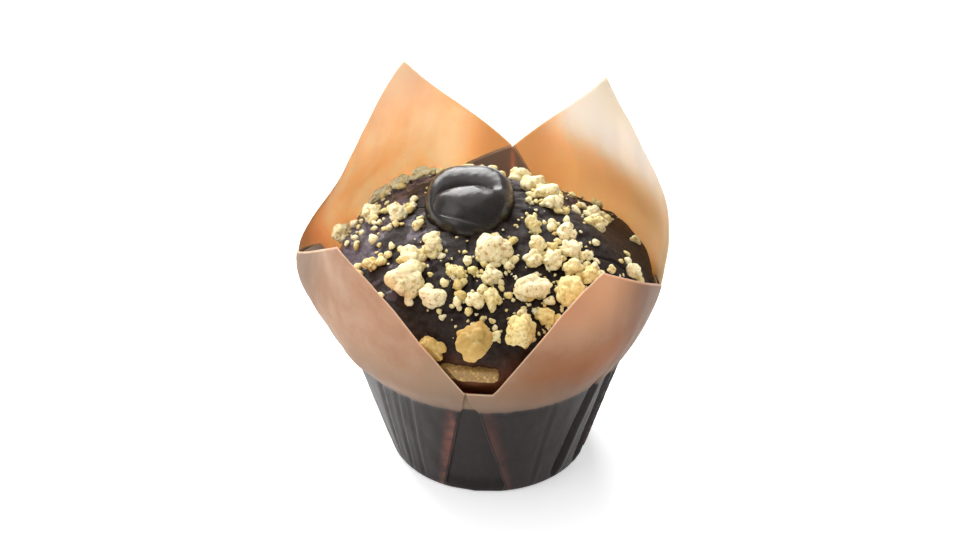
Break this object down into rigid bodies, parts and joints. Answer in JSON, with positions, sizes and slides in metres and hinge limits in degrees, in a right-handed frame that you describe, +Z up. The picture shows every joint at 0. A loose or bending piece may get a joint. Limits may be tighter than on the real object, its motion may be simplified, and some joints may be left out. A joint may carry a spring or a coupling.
{
  "type": "muffin",
  "caption": "Dark chocolate muffin in a folded tulip paper case with four pointed petals, with pale crumble on its crown and a dollop of chocolate on top.",
  "frame": {"origin": "centre of the paper case's flat round underside", "axes": "+Z up along the axis of the case's cup, -Y towards the lower two petals and the open front, +X to the right seen from there"},
  "size_m": [0.0922, 0.0876, 0.0945],
  "materials": {
    "kraft_paper": "matte greaseproof paper, soaked dark on the cup",
    "chocolate_crumb": "matte baked crust with pale crumble",
    "soft_chocolate": "glossy"
  },
  "bodies": {
    "root": {"paper_case": "kraft_paper", "muffin": "chocolate_crumb", "chocolate_dollop": "soft_chocolate"}
  },
  "joints": []
}
